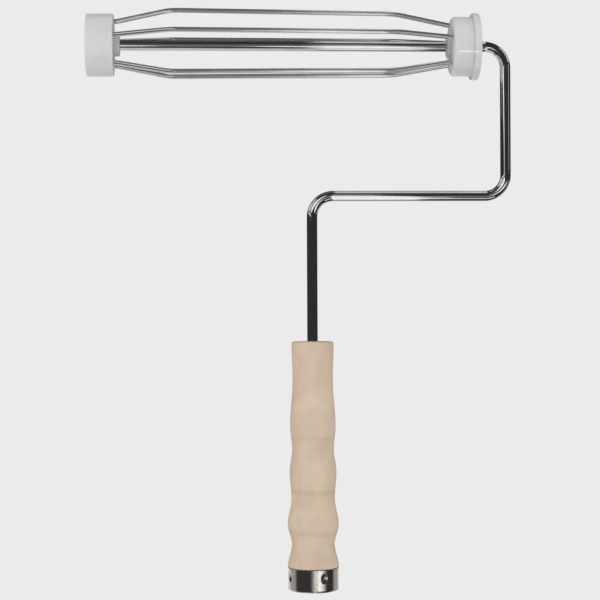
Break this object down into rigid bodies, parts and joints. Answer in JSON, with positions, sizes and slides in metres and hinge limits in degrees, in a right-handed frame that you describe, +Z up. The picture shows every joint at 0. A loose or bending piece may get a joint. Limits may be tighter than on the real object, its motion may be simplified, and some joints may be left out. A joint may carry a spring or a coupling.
{
  "type": "paint roller frame",
  "caption": "Paint roller frame: a bare spring-wire cage between flanged and plain plastic end caps, turning on a bent chrome rod with a turned wooden handle and metal ferrule.",
  "frame": {"origin": "middle of the handle's lower end, in the plane of the ferrule's end face, where the pole socket opens", "axes": "+Z up the handle towards the cage, +X along the cage's axle towards the riser, Y across the frame"},
  "size_m": [0.2571, 0.0434, 0.3519],
  "materials": {
    "chrome": "bright chrome plate",
    "spring_steel": "bright plated spring wire",
    "zinc_plate": "dull zinc plate",
    "nickel": "polished nickel plate",
    "cap_plastic": "milky translucent moulding",
    "bush_plastic": "plain grey moulding",
    "turned_wood": "pale close-grained hardwood, sealed, satin"
  },
  "bodies": {
    "frame": {"frame_rod": "chrome", "handle_grip": "turned_wood", "ferrule": "nickel", "inner_stop_ring": "zinc_plate", "inner_thrust_washer": "zinc_plate", "outer_thrust_washer": "zinc_plate", "push_nut": "zinc_plate"},
    "cage": {"cage_wire_1": "spring_steel", "cage_wire_2": "spring_steel", "cage_wire_3": "spring_steel", "cage_wire_4": "spring_steel", "cage_wire_5": "spring_steel", "outer_end_cap": "cap_plastic", "inner_end_cap": "cap_plastic", "outer_bearing_bush": "bush_plastic", "inner_bearing_bush": "bush_plastic"}
  },
  "joints": [
    {"name": "cage_spin", "type": "hinge", "parent": "frame", "child": "cage", "pos_m": [0, 0, 0.3292], "axis": [1, 0, 0], "continuous": true}
  ]
}
